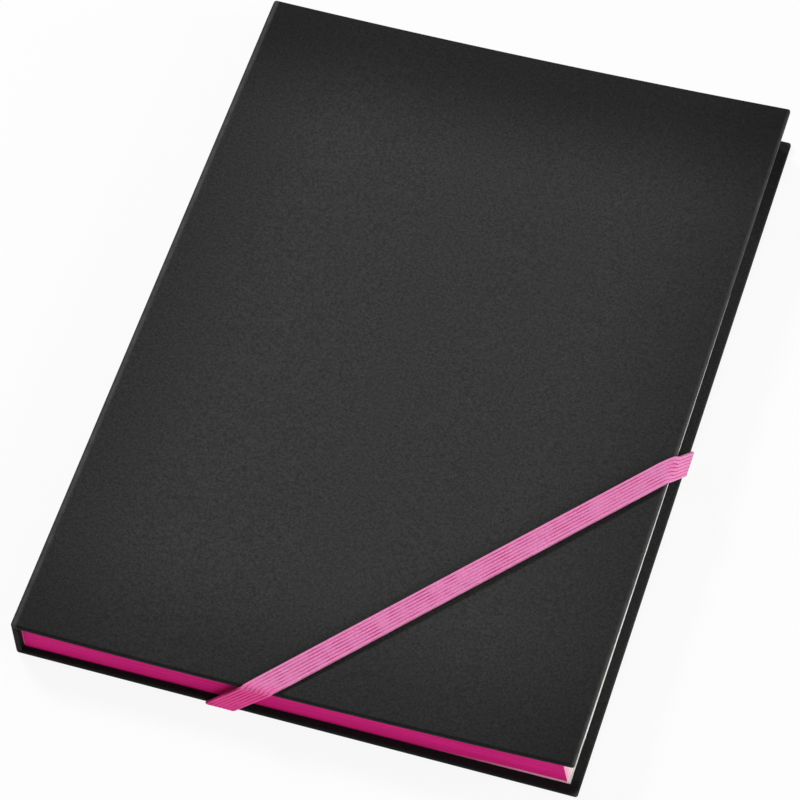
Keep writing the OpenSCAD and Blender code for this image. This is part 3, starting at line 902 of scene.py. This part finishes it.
# %% Floor and world
floor = start("floor", bpy.ops.mesh.primitive_plane_add, size=6, location=(0, 0, -0.02 * MM))
only(floor)
floor_material = bpy.data.materials.new("floor_pale")
floor_material.use_nodes = True
n = Nodes(floor_material.node_tree)
shader = floor_material.node_tree.nodes["Principled BSDF"]
shader.inputs["Base Color"].default_value = (0.8, 0.8, 0.8, 1)
shader.inputs["Roughness"].default_value = 0.9
shader.inputs["Specular IOR Level"].default_value = 0.1
ray = n.add("ShaderNodeLightPath")
seen = n.maths("MAXIMUM", ray.outputs["Is Camera Ray"],
               n.maths("MAXIMUM", ray.outputs["Is Glossy Ray"], ray.outputs["Is Transmission Ray"]))
glow = n.add("ShaderNodeEmission", {"Color": (1, 1, 1, 1), "Strength": 1.0})
pale = n.add("ShaderNodeMixShader", {0: n.maths("MULTIPLY", seen, 0.9)})
links = floor_material.node_tree.links
links.new(shader.outputs[0], pale.inputs[1])
links.new(glow.outputs[0], pale.inputs[2])
links.new(pale.outputs[0], floor_material.node_tree.nodes["Material Output"].inputs[0])
dress(floor, floor_material)

world = bpy.data.worlds.new("studio")
bpy.context.scene.world = world
world.use_nodes = True
n = Nodes(world.node_tree)
background = world.node_tree.nodes["Background"]
background.inputs["Color"].default_value = (1, 1, 1, 1)
ray = n.add("ShaderNodeLightPath")
seen = n.maths("MAXIMUM", ray.outputs["Is Camera Ray"], ray.outputs["Is Transmission Ray"])
world.node_tree.links.new(n.smooth(seen, 0, 1, 0.22, 1.0), background.inputs["Strength"])

# %% [markdown]
# The light is soft and comes from the upper left, behind the notebook, so that the band's
# shadow falls towards the lower right. A second panel on the right lights the fore edge, and a
# weak one in front lifts the dyed tail.

# %% Lamps
def lamp(name, place, size, energy):
    data = bpy.data.lights.new(name, "AREA")
    data.shape = "RECTANGLE"
    data.size, data.size_y = size
    data.energy = energy
    obj = bpy.data.objects.new(name, data)
    bpy.context.scene.collection.objects.link(obj)
    obj.location = place
    obj.rotation_euler = (-Vector(place)).to_track_quat("-Z", "Y").to_euler()
    return obj


lamp("key_panel", (-0.75, 0.5, 0.85), (0.3, 0.3), 11.5)
lamp("right_panel", (1.0, -0.1, 0.4), (0.6, 0.5), 8.4)
lamp("front_panel", (0.0, -1.1, 0.2), (0.9, 0.3), 2.8)

# %% [markdown]
# The camera stands where the photographer stood: well above the notebook and a little to the
# right of its tail, rolled by about four degrees, far away with a long lens.

# %% Camera
AZIMUTH, ELEVATION, ROLL = (math.radians(a) for a in (20.80, 56.32, -3.90))
DISTANCE = 1091.06 * MM
TARGET = Vector((-3.625, -4.351, 0)) * MM
back = Vector((math.sin(AZIMUTH) * math.cos(ELEVATION), -math.cos(AZIMUTH) * math.cos(ELEVATION),
               math.sin(ELEVATION)))
level = Vector((math.cos(AZIMUTH), math.sin(AZIMUTH), 0))
upward = back.cross(level)
right = level * math.cos(ROLL) + upward * math.sin(ROLL)
up = upward * math.cos(ROLL) - level * math.sin(ROLL)
camera_data = bpy.data.cameras.new("camera")
camera_data.sensor_width = 36
camera_data.lens = 184.4
camera = bpy.data.objects.new("camera", camera_data)
bpy.context.scene.collection.objects.link(camera)
place = TARGET + back * DISTANCE
camera.matrix_world = Matrix(((right.x, up.x, back.x, place.x), (right.y, up.y, back.y, place.y),
                              (right.z, up.z, back.z, place.z), (0, 0, 0, 1)))
bpy.context.scene.camera = camera
bpy.context.scene.view_settings.view_transform = "Standard"
print("camera at", [round(v, 3) for v in place])

# %% Leave the floor selected
only(floor)
